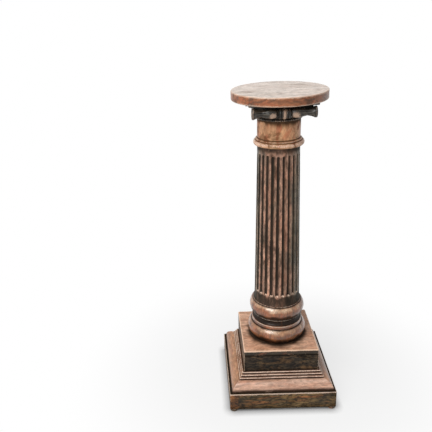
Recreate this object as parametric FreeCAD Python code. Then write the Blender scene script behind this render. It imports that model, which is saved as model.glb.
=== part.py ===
import FreeCAD, Part
import math
import os

# Pedestal column stand of turned and mitred wood: round top, Ionic capital with two bolsters, fluted shaft,
# Attic base, square plinth, mitred moulding frame and skirt on four small feet.
# Millimetres. The origin is on the floor under the column's axis, +Z is up and the front is towards -Y.

# Feet and skirt
foot_height = 8.0
foot_diameter = 28.0
skirt_side = 360.0
skirt_height = 62.0
skirt_thickness = 24.0
skirt_edge_round = 2.0
base_board_thickness = 18.0
base_block_side = 36.0
base_block_height = 32.0

# Moulding frame between skirt and plinth
moulding_height = 53.5
moulding_foot_inset = 7.5
moulding_foot_fillet = 2.5
ovolo_height = 27.0
ovolo_projection = 24.0
ovolo_crown = 5.6
reed_count = 3
reed_depth = 3.0
reed_height = 5.0
ledge_share = 1 / 3
moulding_lip = 3.5
moulding_seat = 36.0

# Plinth box
plinth_side = 252.0
plinth_board_height = 62.0
plinth_board_thickness = 16.0
plinth_top_thickness = 18.0
plinth_edge_round = 1.5
plinth_block_side = 30.0
plinth_block_height = 46.0
corner_wear = 1.2

# Attic base, turned in three rings
lower_torus_diameter = 199.0
lower_torus_height = 53.5
torus_crown = 12.0
torus_foot = 3.5
scotia_diameter = 154.0
scotia_height = 38.0
scotia_deepest = 0.55
scotia_fillet_diameter = 173.0
scotia_fillet_height = 13.0
upper_torus_diameter = 187.0
upper_torus_height = 50.0
upper_torus_crown = 10.0
torus_ring_height = 4.0

# Fluted shaft
shaft_length = 548.0
shaft_foot_diameter = 153.6
shaft_head_diameter = 134.2
shaft_flare = 3.2
shaft_flare_height = 12.0
flare_bend_out = 0.8
flare_bend_height = 5.4
flute_count = 24
flute_turn = 0.5  # in flutes, from the X axis, so that a fillet faces the front
flute_foot_width = 13.2
flute_head_width = 11.6
flute_sink = 1.4
foot_band = 33.0
head_band = 23.0
tenon_diameter = 60.0
tenon_end_gap = 2.0

# Neck drum with its half-round necking ring
neck_height = 85.0
neck_diameter = 135.4
necking_diameter = 160.0
necking_height = 17.0
neck_fillet_diameter = 146.0
neck_fillet_height = 7.0
dowel_diameter = 32.0
dowel_bite = 38.0

# Capital
echinus_height = 36.0
echinus_fillet = 6.0
echinus_foot_step = 1.5
echinus_crown = 3.0
echinus_crown_drop = 2.9
capital_block_height = 17.0
capital_block_length = 178.0
bolster_spacing = 203.0
bolster_length = 186.0
volute_diameter = 34.5
volute_disc = 5.0
volute_relief = 1.6
volute_lip = 0.8
volute_band = 2.6
volute_step = 2.6
volute_half_turns = 4
volute_eye_diameter = 8.0
belt_diameter = 38.0
belt_side_diameter = 36.4
belt_root_diameter = 33.0
belt_ridge_pitch = 10.5
belt_ridge_width = 10.0
belt_side_ridge_width = 6.0
belt_ridge_bevel = 1.6
bud_start = 19.0
bud_diameter = 32.0
bud_fullest = 33.7
bud_root_diameter = 19.0
bud_end = 54.0
waist_diameter = 21.0
waist_place = 66.0
flare_rise = 2.0
abacus_side = 207.0
abacus_thickness = 6.0

# Round top
top_diameter = 297.0
top_thickness = 28.0
top_edge_round = 3.0

# Hardware
top_screw_diameter = 5.0
top_screw_head = 10.0
top_screw_length = 42.0
top_screw_place = (68.0, 78.0)
peg_diameter = 6.0
peg_length = 40.0
peg_bite = 16.0
tie_screw_diameter = 9.8
tie_screw_bite = 60.0
tie_head_across = 17.0
tie_head_height = 7.0
washer_diameter = 84.0
washer_thickness = 4.0
base_screw_diameter = 4.0
base_screw_head = 8.0
base_screw_bite = 16.0
base_screw_place = 60.0
nail_diameter = 2.4
nail_head = 6.0
nail_head_height = 1.0
nail_recess = 1.0
nail_length = 23.0

# Clearances
glue_gap = 0.1
screw_gap = 0.1
echinus_gap = 0.3

# Allowances of the shapes that cut and the search for edges
cut_over = 1.0
mitre_over = 5.0
edge_reach = 0.01

# Heights of the seams, from the floor up
skirt_foot = foot_height
skirt_head = skirt_foot + skirt_height
moulding_head = skirt_head + moulding_height
plinth_board_head = moulding_head + plinth_board_height
plinth_head = plinth_board_head + plinth_top_thickness
lower_torus_head = plinth_head + lower_torus_height
scotia_head = lower_torus_head + scotia_height
upper_torus_head = scotia_head + upper_torus_height
shaft_head = upper_torus_head + shaft_length
neck_head = shaft_head + neck_height
echinus_head = neck_head + echinus_height
capital_block_head = echinus_head + capital_block_height
abacus_head = capital_block_head + abacus_thickness
stand_height = abacus_head + top_thickness

# Half widths that several pieces share
skirt_half = skirt_side / 2
skirt_inner_half = skirt_half - skirt_thickness
plinth_half = plinth_side / 2
plinth_inner_half = plinth_half - plinth_board_thickness
bolster_place = bolster_spacing / 2
bolster_axis = capital_block_head - belt_diameter / 2
capital_block_half_depth = bolster_place - volute_diameter / 2
echinus_radius = capital_block_half_depth - echinus_gap
tenon_radius = tenon_diameter / 2
tenon_end = plinth_board_head + tenon_end_gap

turn_axis = FreeCAD.Vector(0, 0, 1)
axis_point = FreeCAD.Vector(0, 0, 0)


def outline_face(place, start, steps):
    """Face inside a closed outline. A step of one point is a straight line, a step of two is an arc."""
    edges = []
    here = start
    for step in steps:
        there = step[-1]
        if len(step) == 1:
            edges.append(Part.LineSegment(place(*here), place(*there)).toShape())
        else:
            edges.append(Part.Arc(place(*here), place(*step[0]), place(*there)).toShape())
        here = there
    edges.append(Part.LineSegment(place(*here), place(*start)).toShape())
    return Part.Face(Part.Wire(edges))


def section_place(radius, height):
    return FreeCAD.Vector(radius, 0, height)


def front_place(distance, height):
    return FreeCAD.Vector(0, -distance, height)


def turned(start, steps):
    """Turned piece: its half section, in radius and height, spun about the column's axis."""
    return outline_face(section_place, start, steps).revolve(axis_point, turn_axis, 360)


def rod(diameter, low, high, x=0.0, y=0.0):
    """Upright cylinder between two heights."""
    return Part.makeCylinder(diameter / 2, high - low, FreeCAD.Vector(x, y, low))


def block(half_x, half_y, low, high, x=0.0, y=0.0):
    """Upright box between two heights, centred on a place in plan."""
    corner = FreeCAD.Vector(x - half_x, y - half_y, low)
    return Part.makeBox(2 * half_x, 2 * half_y, high - low, corner)


def turned_about(shape, degrees):
    copy = shape.copy()
    copy.rotate(axis_point, turn_axis, degrees)
    return copy


def corners(place_x, place_y):
    """The four places, one in each quarter of the plan."""
    return [(sx * place_x, sy * place_y) for sx in (-1, 1) for sy in (-1, 1)]


def worn_corners(shape, half, low, high):
    """Takes the sharp upright arrises off a square piece."""
    reach = (2 * half - corner_wear) / math.sqrt(2)
    diamond = turned_about(block(reach, reach, low - cut_over, high + cut_over), 45)
    return shape.common(diamond)


def mitred_side(start, steps, outer_half, low, high):
    """Front piece of a square frame: its section run along X and mitred at both corners."""
    reach = outer_half + mitre_over
    face = outline_face(front_place, start, steps)
    face.translate(FreeCAD.Vector(-reach, 0, 0))
    run = face.extrude(FreeCAD.Vector(2 * reach, 0, 0))
    plan = [
        FreeCAD.Vector(0, 0, low - cut_over),
        FreeCAD.Vector(-reach, -reach, low - cut_over),
        FreeCAD.Vector(reach, -reach, low - cut_over),
        FreeCAD.Vector(0, 0, low - cut_over),
    ]
    wedge = Part.Face(Part.makePolygon(plan)).extrude(FreeCAD.Vector(0, 0, high - low + 2 * cut_over))
    return run.common(wedge)


def skirt_front():
    start = (skirt_inner_half, skirt_foot)
    bend = skirt_edge_round * (1 - math.sqrt(0.5))
    steps = [
        ((skirt_half, skirt_foot),),
        ((skirt_half, skirt_head - skirt_edge_round),),
        ((skirt_half - bend, skirt_head - bend), (skirt_half - skirt_edge_round, skirt_head)),
        ((skirt_inner_half, skirt_head),),
    ]
    side = mitred_side(start, steps, skirt_half, skirt_foot, skirt_head)
    return worn_corners(side, skirt_half, skirt_foot, skirt_head)


def moulding_front():
    """From the skirt up: fillet, broad ovolo, three reeds stepping in over quirks, and the plinth's ledge."""
    foot_half = skirt_half - moulding_foot_inset
    ovolo_foot = skirt_head + moulding_foot_fillet
    ovolo_head = ovolo_foot + ovolo_height
    ovolo_half = foot_half - ovolo_projection
    slope = math.hypot(ovolo_projection, ovolo_height)
    crown_half = (foot_half + ovolo_half) / 2 + ovolo_crown * ovolo_height / slope
    crown_level = (ovolo_foot + ovolo_head) / 2 + ovolo_crown * ovolo_projection / slope
    steps = [
        ((foot_half, skirt_head),),
        ((foot_half, ovolo_foot),),
        ((crown_half, crown_level), (ovolo_half, ovolo_head)),
    ]
    ledge_half = plinth_half + (ovolo_half - plinth_half) * ledge_share
    rise = moulding_head - ovolo_head
    quirk = (rise - reed_count * reed_height) / reed_count
    level = ovolo_head
    for reed in range(reed_count):
        reed_half = ovolo_half + (ledge_half - ovolo_half) * (reed + 1) / reed_count
        reed_root = reed_half - reed_depth
        reed_foot = level + quirk
        level = reed_foot + reed_height
        steps.append(((reed_root, reed_foot - quirk),))
        steps.append(((reed_root, reed_foot),))
        steps.append(((reed_half, reed_foot + reed_height / 2), (reed_root, level)))
    steps.append(((plinth_inner_half, moulding_head),))
    steps.append(((plinth_inner_half, moulding_head - moulding_lip),))
    start = (foot_half - moulding_seat, skirt_head)
    return mitred_side(start, steps, foot_half, skirt_head, moulding_head)


def plinth_front():
    start = (plinth_inner_half, moulding_head)
    steps = [
        ((plinth_half, moulding_head),),
        ((plinth_half, plinth_board_head),),
        ((plinth_inner_half, plinth_board_head),),
    ]
    side = mitred_side(start, steps, plinth_half, moulding_head, plinth_board_head)
    return worn_corners(side, plinth_half, moulding_head, plinth_board_head)


def plinth_top():
    board = block(plinth_half, plinth_half, plinth_board_head, plinth_head)
    board = worn_corners(board, plinth_half, plinth_board_head, plinth_head)
    rim = [e for e in board.Edges if e.BoundBox.ZMin > plinth_head - edge_reach]
    board = board.makeFillet(plinth_edge_round, rim)
    return board.cut(rod(tenon_diameter + 2 * glue_gap, plinth_board_head - cut_over, plinth_head + cut_over))


def lower_torus():
    bore = tenon_radius + glue_gap
    crown = lower_torus_diameter / 2
    edge = crown - torus_crown
    foot = plinth_head + torus_foot
    start = (bore, plinth_head)
    steps = [
        ((edge, plinth_head),),
        ((edge, foot),),
        ((crown, (foot + lower_torus_head) / 2), (edge, lower_torus_head)),
        ((bore, lower_torus_head),),
    ]
    return turned(start, steps)


def scotia_ring():
    """Hollow between two flat fillets, the lower fillet standing on the big torus."""
    bore = tenon_radius + glue_gap
    fillet = scotia_fillet_diameter / 2
    hollow_foot = lower_torus_head + scotia_fillet_height
    hollow_head = scotia_head - torus_ring_height
    upper_edge = upper_torus_diameter / 2 - upper_torus_crown
    hollow_level = hollow_foot + (hollow_head - hollow_foot) * scotia_deepest
    start = (bore, lower_torus_head)
    steps = [
        ((fillet, lower_torus_head),),
        ((fillet, hollow_foot),),
        ((scotia_diameter / 2, hollow_level), (upper_edge, hollow_head)),
        ((upper_edge, scotia_head),),
        ((bore, scotia_head),),
    ]
    return turned(start, steps)


def upper_torus():
    """Smaller torus with a thin ring on it, where the shaft stands."""
    bore = tenon_radius + glue_gap
    crown = upper_torus_diameter / 2
    edge = crown - upper_torus_crown
    ring = shaft_foot_diameter / 2 + shaft_flare + torus_ring_height / 2
    torus_head = upper_torus_head - torus_ring_height
    start = (bore, scotia_head)
    steps = [
        ((edge, scotia_head),),
        ((crown, (scotia_head + torus_head) / 2), (edge, torus_head)),
        ((ring, torus_head),),
        ((ring, upper_torus_head),),
        ((bore, upper_torus_head),),
    ]
    return turned(start, steps)


def flute_cutter():
    """One tapered flute with round ends, leaning with the shaft's taper."""
    taper = (shaft_foot_diameter - shaft_head_diameter) / 2 / shaft_length
    foot_radius = flute_foot_width / 2
    head_radius = flute_head_width / 2
    foot_level = upper_torus_head + foot_band + foot_radius
    head_level = shaft_head - head_band - head_radius
    foot_reach = shaft_foot_diameter / 2 - taper * (foot_level - upper_torus_head) + flute_sink
    head_reach = shaft_foot_diameter / 2 - taper * (head_level - upper_torus_head) + flute_sink
    foot_point = FreeCAD.Vector(foot_reach, 0, foot_level)
    head_point = FreeCAD.Vector(head_reach, 0, head_level)
    run = head_point - foot_point
    barrel = Part.makeCone(foot_radius, head_radius, run.Length, foot_point, run)
    foot_end = Part.makeSphere(foot_radius, foot_point)
    head_end = Part.makeSphere(head_radius, head_point)
    return barrel.fuse([foot_end, head_end])


def fluted_shaft():
    """Tapered shaft, its foot flared, with a long tenon down through the base rings and the plinth top."""
    foot = shaft_foot_diameter / 2
    head = shaft_head_diameter / 2
    flare_end = foot - (foot - head) * shaft_flare_height / shaft_length
    bend_radius = flare_end + flare_bend_out
    bend_level = upper_torus_head + flare_bend_height
    start = (0.0, tenon_end)
    steps = [
        ((tenon_radius, tenon_end),),
        ((tenon_radius, upper_torus_head),),
        ((foot + shaft_flare, upper_torus_head),),
        ((bend_radius, bend_level), (flare_end, upper_torus_head + shaft_flare_height)),
        ((head, shaft_head),),
        ((0.0, shaft_head),),
    ]
    shaft = turned(start, steps)
    cutter = flute_cutter()
    flutes = [turned_about(cutter, 360.0 * (n + flute_turn) / flute_count) for n in range(flute_count)]
    shaft = shaft.cut(flutes)
    shaft = shaft.cut(rod(dowel_diameter + 2 * glue_gap, shaft_head - dowel_bite, shaft_head + cut_over))
    pilot_head = tenon_end + tie_screw_bite + screw_gap
    return shaft.cut(rod(tie_screw_diameter + 2 * screw_gap, tenon_end - cut_over, pilot_head))


def neck_drum():
    """Smooth neck over a fillet and a half-round necking ring, bored at both ends for the dowels."""
    neck = neck_diameter / 2
    fillet = neck_fillet_diameter / 2
    ring = necking_diameter / 2
    ring_head = shaft_head + necking_height
    fillet_head = ring_head + neck_fillet_height
    root = ring - necking_height / 2
    start = (0.0, shaft_head)
    steps = [
        ((root, shaft_head),),
        ((ring, (shaft_head + ring_head) / 2), (root, ring_head)),
        ((fillet, ring_head),),
        ((fillet, ring_head + neck_fillet_height / 2),),
        ((neck, fillet_head),),
        ((neck, neck_head),),
        ((0.0, neck_head),),
    ]
    drum = turned(start, steps)
    bore = dowel_diameter + 2 * glue_gap
    drum = drum.cut(rod(bore, shaft_head - cut_over, shaft_head + dowel_bite))
    return drum.cut(rod(bore, neck_head - dowel_bite, neck_head + cut_over))


def echinus_ring():
    """Ovolo swelling from the neck out to the block above, just clear of the two bolsters."""
    bore = dowel_diameter / 2 + glue_gap
    foot = neck_diameter / 2 + echinus_foot_step
    crown = echinus_radius
    bead_head = neck_head + echinus_fillet
    ovolo_head = echinus_head - echinus_fillet
    middle = (bead_head + ovolo_head) / 2 - echinus_crown_drop
    start = (bore, neck_head)
    steps = [
        ((foot, neck_head),),
        ((foot + echinus_fillet / 2, neck_head + echinus_fillet / 2), (foot, bead_head)),
        (((foot + crown) / 2 + echinus_crown, middle), (crown, ovolo_head)),
        ((crown - echinus_fillet / 2, echinus_head),),
        ((bore, echinus_head),),
    ]
    return turned(start, steps)


def capital_block():
    """Board between the two bolsters, over the echinus."""
    board = block(capital_block_length / 2, capital_block_half_depth, echinus_head, capital_block_head)
    bore = dowel_diameter + 2 * glue_gap
    board = board.cut(rod(bore, echinus_head - cut_over, capital_block_head + cut_over))
    board = board.cut([screw_room(x, y) for x, y in corners(*top_screw_place)])
    return board.cut(pegs(glue_gap))


def bolster_point(distance, radius):
    return FreeCAD.Vector(distance, -bolster_place, bolster_axis + radius)


def bolster_half_section():
    """From the belt's middle ridge out to the volute: distance along the bolster and radius."""
    belt = belt_diameter / 2
    side_belt = belt_side_diameter / 2
    root = belt_root_diameter / 2
    middle_edge = belt_ridge_width / 2
    side_inner = belt_ridge_pitch - belt_side_ridge_width / 2
    side_outer = belt_ridge_pitch + belt_side_ridge_width / 2
    bevel = belt_ridge_bevel
    bud = bud_diameter / 2
    bud_tail = (bud + waist_diameter / 2) / 2
    flare = volute_diameter / 2
    disc_start = bolster_length / 2 - volute_disc
    flare_middle = (waist_place + disc_start) / 2
    flare_radius = waist_diameter / 2 + flare_rise
    return [
        ((0.0, belt),),
        ((middle_edge - bevel, belt),),
        ((middle_edge, root),),
        ((side_inner, root),),
        ((side_inner + bevel, side_belt),),
        ((side_outer - bevel, side_belt),),
        ((side_outer, root),),
        ((side_outer + bevel, root),),
        ((bud_start, bud_root_diameter / 2),),
        ((bud_fullest, bud), (bud_end, bud_tail)),
        ((waist_place, waist_diameter / 2),),
        ((flare_middle, flare_radius), (disc_start, flare - belt_ridge_bevel / 2)),
        ((disc_start, flare),),
        ((bolster_length / 2, flare),),
        ((bolster_length / 2, 0.0),),
    ]


def mirrored_steps(half):
    """The same half section walked inwards from the other end."""
    steps = []
    for step, before in zip(reversed(half), list(reversed(half))[1:]):
        walked = [(-x, radius) for x, radius in step[:-1]]
        x, radius = before[-1]
        steps.append((*walked, (-x, radius)))
    return steps


def volute_scroll():
    """Raised spiral band and eye for one volute, lying in the YZ plane at x = 0, outward side towards -Y."""
    thickness = FreeCAD.Vector(volute_relief, 0, 0)

    def scroll_point(radius, centre, degrees):
        angle = math.radians(degrees)
        return FreeCAD.Vector(0, -radius * math.cos(angle), centre + radius * math.sin(angle))

    def scroll_arcs(first_radius):
        arcs = []
        for turn in range(volute_half_turns):
            radius = first_radius - turn * volute_step
            centre = -volute_step * (turn % 2)
            start = 90 - 180 * turn
            points = [scroll_point(radius, centre, start - 90 * quarter) for quarter in range(3)]
            arcs.append(Part.Arc(*points).toShape())
        return arcs

    rim = volute_diameter / 2 - volute_lip
    outer = scroll_arcs(rim)
    inner = scroll_arcs(rim - volute_band)
    first = Part.LineSegment(outer[0].firstVertex().Point, inner[0].firstVertex().Point).toShape()
    last = Part.LineSegment(outer[-1].lastVertex().Point, inner[-1].lastVertex().Point).toShape()
    edges = Part.__sortEdges__(outer + inner + [first, last])
    band = Part.Face(Part.Wire(edges)).extrude(thickness)
    eye = Part.makeCylinder(
        volute_eye_diameter / 2,
        volute_relief,
        FreeCAD.Vector(0, 0, -volute_step / 2),
        FreeCAD.Vector(1, 0, 0),
    )
    return [band, eye]


def front_bolster():
    """Carved roll with a belt of three ridges in the middle, a bud each side, and a volute at each end."""
    along = FreeCAD.Vector(1, 0, 0)
    half = bolster_half_section()
    end = half[-1][-1][0]
    steps = mirrored_steps(half) + half[1:]
    section = outline_face(bolster_point, (-end, 0.0), steps)
    solid = section.revolve(bolster_point(0.0, 0.0), along, 360)
    for side in (-1, 1):
        for piece in volute_scroll():
            carved = piece.copy()
            carved.translate(bolster_point(bolster_length / 2, 0.0))
            if side < 0:
                carved = carved.mirror(axis_point, along)
            solid = solid.fuse(carved)
    seat_depth = bolster_place - capital_block_half_depth
    seat = block(
        capital_block_length / 2,
        belt_diameter,
        bolster_axis - belt_diameter,
        bolster_axis + belt_diameter,
        0.0,
        seat_depth + belt_diameter - bolster_place,
    )
    return solid.cut([seat] + pegs(glue_gap))


def abacus_board():
    board = block(abacus_side / 2, abacus_side / 2, capital_block_head, abacus_head)
    board = worn_corners(board, abacus_side / 2, capital_block_head, abacus_head)
    return board.cut([screw_room(x, y) for x, y in corners(*top_screw_place)])


def round_top():
    board = rod(top_diameter, abacus_head, stand_height)
    rims = [e for e in board.Edges if e.BoundBox.ZLength < edge_reach]
    board = board.makeFillet(top_edge_round, rims)
    return board.cut([screw_room(x, y) for x, y in corners(*top_screw_place)])


def screw_body(diameter, head_diameter, foot, length, x, y, gap):
    """Countersunk screw pointing up, its flat head at the foot; gap widens it into its hole."""
    radius = diameter / 2 + gap
    head_radius = head_diameter / 2 + gap
    head_depth = head_radius - radius
    head = Part.makeCone(head_radius, radius, head_depth, FreeCAD.Vector(x, y, foot))
    return head.fuse(rod(2 * radius, foot, foot + length + gap, x, y))


def screw_room(x, y):
    room = screw_body(top_screw_diameter, top_screw_head, echinus_head, top_screw_length, x, y, screw_gap)
    return room.fuse(rod(top_screw_head + 2 * screw_gap, echinus_head - cut_over, echinus_head, x, y))


def top_screws():
    """Four screws up through the capital's block and the abacus into the round top."""
    screws = []
    for x, y in corners(*top_screw_place):
        screws.append(
            screw_body(top_screw_diameter, top_screw_head, echinus_head, top_screw_length, x, y, 0.0)
        )
    return Part.makeCompound(screws)


def pegs(gap):
    """A wooden peg for each bolster, across the seam between the block's edge and the belt."""
    shapes = []
    level = (echinus_head + capital_block_head) / 2
    for side in (-1, 1):
        inner = side * (capital_block_half_depth + peg_bite - peg_length - gap)
        way = FreeCAD.Vector(0, side, 0)
        start = FreeCAD.Vector(0, inner, level)
        shapes.append(Part.makeCylinder(peg_diameter / 2 + gap, peg_length + 2 * gap, start, way))
    return shapes


def foot_pad(x, y):
    pad = rod(foot_diameter, 0.0, foot_height, x, y)
    recess = rod(nail_head + 2 * screw_gap, -cut_over, nail_recess, x, y)
    return pad.cut([recess, nail_body(x, y, screw_gap)])


def nail_body(x, y, gap):
    """Nail driven up through a foot into the skirt, its head sunk; gap widens it into its hole."""
    head = rod(nail_head + 2 * gap, nail_recess, nail_recess + nail_head_height + gap, x, y)
    shank = rod(nail_diameter + 2 * gap, nail_recess, nail_recess + nail_length + gap, x, y)
    return head.fuse(shank)


def foot_places():
    """The four corners, each foot flush with the skirt's faces."""
    inset = skirt_half - foot_diameter / 2
    return {
        "foot_front_left": (-inset, -inset),
        "foot_front_right": (inset, -inset),
        "foot_rear_left": (-inset, inset),
        "foot_rear_right": (inset, inset),
    }


def base_screw_body(side, x, gap):
    """Screw up through the base board into one side of the moulding."""
    inset = (skirt_half - moulding_foot_inset - moulding_seat + skirt_inner_half) / 2
    foot = skirt_head - base_board_thickness
    length = base_board_thickness + base_screw_bite
    screw = screw_body(base_screw_diameter, base_screw_head, foot, length, x, -inset, gap)
    return turned_about(screw, 90 * side)


def base_screw_bodies(gap):
    return [base_screw_body(side, x, gap) for side in range(4) for x in (-base_screw_place, base_screw_place)]


def base_board():
    foot = skirt_head - base_board_thickness
    board = block(skirt_inner_half, skirt_inner_half, foot, skirt_head)
    return board.cut(base_screw_bodies(screw_gap))


def glue_blocks(inner_half, side, low, high):
    place = inner_half - side / 2
    return Part.makeCompound([block(side / 2, side / 2, low, high, x, y) for x, y in corners(place, place)])


def tie_washer():
    low = plinth_board_head - washer_thickness
    ring = rod(washer_diameter, low, plinth_board_head)
    return ring.cut(rod(tie_screw_diameter + 2 * screw_gap, low - cut_over, plinth_board_head + cut_over))


def tie_screw():
    """Long hexagon-headed screw up into the shaft's tenon, which pulls the column down on the plinth."""
    head_top = plinth_board_head - washer_thickness
    across = tie_head_across / math.sqrt(3)
    first = FreeCAD.Vector(across, 0, head_top - tie_head_height)
    turn = FreeCAD.Rotation(turn_axis, 60)
    ring = [first]
    for side in range(6):
        ring.append(turn.multVec(ring[-1]))
    ring[-1] = first
    head = Part.Face(Part.makePolygon(ring)).extrude(FreeCAD.Vector(0, 0, tie_head_height))
    return head.fuse(rod(tie_screw_diameter, head_top, tenon_end + tie_screw_bite))


def save(name, shape):
    shape.exportStep("parts/" + name + ".step")


def build():
    os.makedirs("parts", exist_ok=True)
    side_names = ("front", "right", "rear", "left")
    skirt_side_piece = skirt_front()
    moulding_side_piece = moulding_front()
    plinth_side_piece = plinth_front()
    for turn, side in enumerate(side_names):
        moulding = turned_about(moulding_side_piece, 90 * turn)
        moulding = moulding.cut(base_screw_bodies(screw_gap))
        skirt = turned_about(skirt_side_piece, 90 * turn)
        for x, y in foot_places().values():
            skirt = skirt.cut(nail_body(x, y, screw_gap))
        save("skirt_" + side, skirt)
        save("moulding_" + side, moulding)
        save("plinth_" + side, turned_about(plinth_side_piece, 90 * turn))
    for name, (x, y) in foot_places().items():
        save(name, foot_pad(x, y))
    save("foot_nails", Part.makeCompound([nail_body(x, y, 0.0) for x, y in foot_places().values()]))
    save("base_board", base_board())
    save("base_screws", Part.makeCompound(base_screw_bodies(0.0)))
    base_board_foot = skirt_head - base_board_thickness
    save(
        "base_glue_blocks",
        glue_blocks(skirt_inner_half, base_block_side, base_board_foot - base_block_height, base_board_foot),
    )
    save(
        "plinth_glue_blocks",
        glue_blocks(
            plinth_inner_half, plinth_block_side, plinth_board_head - plinth_block_height, plinth_board_head
        ),
    )
    save("plinth_top", plinth_top())
    save("tie_washer", tie_washer())
    save("tie_screw", tie_screw())
    save("lower_torus", lower_torus())
    save("scotia_ring", scotia_ring())
    save("upper_torus", upper_torus())
    save("fluted_shaft", fluted_shaft())
    save("neck_dowel", rod(dowel_diameter, shaft_head - dowel_bite, shaft_head + dowel_bite))
    save("neck_drum", neck_drum())
    save("capital_dowel", rod(dowel_diameter, neck_head - dowel_bite, capital_block_head))
    save("echinus_ring", echinus_ring())
    save("capital_block", capital_block())
    save("bolster_pegs", Part.makeCompound(pegs(0.0)))
    front = front_bolster()
    save("front_bolster", front)
    save("rear_bolster", front.mirror(axis_point, FreeCAD.Vector(0, 1, 0)))
    save("abacus_board", abacus_board())
    save("top_screws", top_screws())
    save("round_top", round_top())
    print("stand", round(stand_height, 2), "high on a base", round(skirt_side, 2), "square")


build()
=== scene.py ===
import math
import random
import bmesh
import bpy
import numpy as np
from mathutils import Matrix, Vector, noise


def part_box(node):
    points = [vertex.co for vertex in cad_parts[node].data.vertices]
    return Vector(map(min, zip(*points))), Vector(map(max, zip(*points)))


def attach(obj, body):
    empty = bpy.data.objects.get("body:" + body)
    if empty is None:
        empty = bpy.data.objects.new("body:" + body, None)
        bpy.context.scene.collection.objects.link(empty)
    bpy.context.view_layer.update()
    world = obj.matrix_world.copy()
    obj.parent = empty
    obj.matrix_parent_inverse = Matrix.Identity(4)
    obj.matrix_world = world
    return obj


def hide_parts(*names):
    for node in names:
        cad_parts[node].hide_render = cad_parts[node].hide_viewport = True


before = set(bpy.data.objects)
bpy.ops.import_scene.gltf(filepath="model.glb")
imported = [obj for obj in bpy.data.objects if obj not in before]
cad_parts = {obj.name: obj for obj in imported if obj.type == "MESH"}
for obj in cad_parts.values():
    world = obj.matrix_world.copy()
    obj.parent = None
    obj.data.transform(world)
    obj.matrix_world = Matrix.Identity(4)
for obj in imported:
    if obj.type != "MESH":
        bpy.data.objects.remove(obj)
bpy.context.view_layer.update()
scene = bpy.context.scene
random.seed(7)
mm = 0.001  # the piece settings below are in millimetres, the scene is in metres
maskNames = ("wear", "dirt", "toneAndLight")  # shares on every point that the wood materials read
print("stand: frame loaded,", len(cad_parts), "pieces")


# small sums

def clamp(value):
    return max(0.0, min(1.0, value))


def smooth(value, none, full):
    # 0 at none, 1 at full and an even swell between them
    share = clamp((value - none) / (full - none))
    return share * share * (3 - 2 * share)


def peak(value, middle, reach):
    # 1 at the middle, falling to 0 at the reach on both sides
    return max(0.0, 1 - abs(value - middle) / reach)


def worn(point, amount, scale=0.05):
    # slow unevenness of old hand work, in millimetres
    return amount * noise.noise(Vector(point) * scale)


# node graph helpers

def tint(red, green, blue):
    # an 8 bit screen colour as the linear colour that the shader wants
    def linear(value):
        value = value / 255
        return value / 12.92 if value <= 0.04045 else ((value + 0.055) / 1.055) ** 2.4
    return (linear(red), linear(green), linear(blue), 1.0)


def newMaterial(name):
    material = bpy.data.materials.new(name)
    material.use_nodes = True
    material.node_tree.nodes.clear()
    return material


def addNode(tree, kind, inputs=None, **settings):
    # an input is either another node's socket or a plain value
    node = tree.nodes.new(kind)
    for key, value in settings.items():
        setattr(node, key, value)
    for key, value in (inputs or {}).items():
        if isinstance(value, bpy.types.NodeSocket):
            tree.links.new(value, node.inputs[key])
        else:
            node.inputs[key].default_value = value
    return node


def mathNode(tree, operation, first, second=0.0, clamped=False):
    node = addNode(tree, "ShaderNodeMath", {0: first, 1: second}, operation=operation, use_clamp=clamped)
    return node.outputs[0]


def times(tree, first, second):
    return mathNode(tree, "MULTIPLY", first, second)


def mixColour(tree, factor, first, second, blend="MIX"):
    # a mix node takes its two colours at inputs 6 and 7 and gives the mixed one at output 2
    inputs = {0: factor, 6: first, 7: second}
    return addNode(tree, "ShaderNodeMix", inputs, data_type="RGBA", blend_type=blend).outputs[2]


def spread(tree, value, low, high, toLow=0.0, toHigh=1.0):
    inputs = {0: value, 1: low, 2: high, 3: toLow, 4: toHigh}
    return addNode(tree, "ShaderNodeMapRange", inputs, interpolation_type="SMOOTHSTEP").outputs[0]


def noiseValue(tree, place, cells, grain, shift, detail, rough, bend=0.0):
    # cells is the noise cells per metre along the grain and across it
    along, across = cells
    scale = [across, across, across]
    scale["XYZ".index(grain)] = along
    mapped = addNode(tree, "ShaderNodeMapping", {"Vector": place, "Location": shift, "Scale": tuple(scale)})
    inputs = {"Vector": mapped.outputs[0], "Scale": 1.0, "Detail": detail, "Roughness": rough,
              "Distortion": bend}
    return addNode(tree, "ShaderNodeTexNoise", inputs).outputs[0]


def seenDirectly(tree, throughGlass=False):
    # 1 for what the camera sees, straight or by way of a gloss, and 0 for the light that falls on the stand
    path = addNode(tree, "ShaderNodeLightPath").outputs
    seen = mathNode(tree, "MAXIMUM", path["Is Camera Ray"], path["Is Glossy Ray"])
    return mathNode(tree, "MAXIMUM", seen, path["Is Transmission Ray"]) if throughGlass else seen


# wood: colours as they look on screen, cells per metre along and across the grain, shift in cells, the bump's
# depth in metres and the rest as shares from 0 to 1

woodPlain = {
    "grain": "Z", "shift": 0.0, "body": ((150, 112, 94), (104, 80, 68)), "face": None, "patina": (34, 28, 22),
    "worn": (214, 190, 170), "glow": (176, 104, 62), "moss": (92, 84, 56), "patches": 0.35, "glowPatches": 0.3,
    "mossPatches": 0.15, "mottle": 0.4, "streaks": 0.5, "pores": 0.35, "cells": (16, 26), "warmCells": (11, 34),
    "mossCells": (13, 30), "mottleCells": (60, 150), "figureCells": (7, 30), "streakCells": (22, 420),
    "poreCells": (160, 2600), "speckCells": (240, 260), "wear": 0.8, "dirt": 0.95, "mostGrimeAndShade": 0.96,
    "rough": (0.3, 0.55), "gloss": 0.3, "coat": 0.35, "coatRough": 0.18, "bump": 0.35, "bumpDepth": 0.0012,
}


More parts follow.
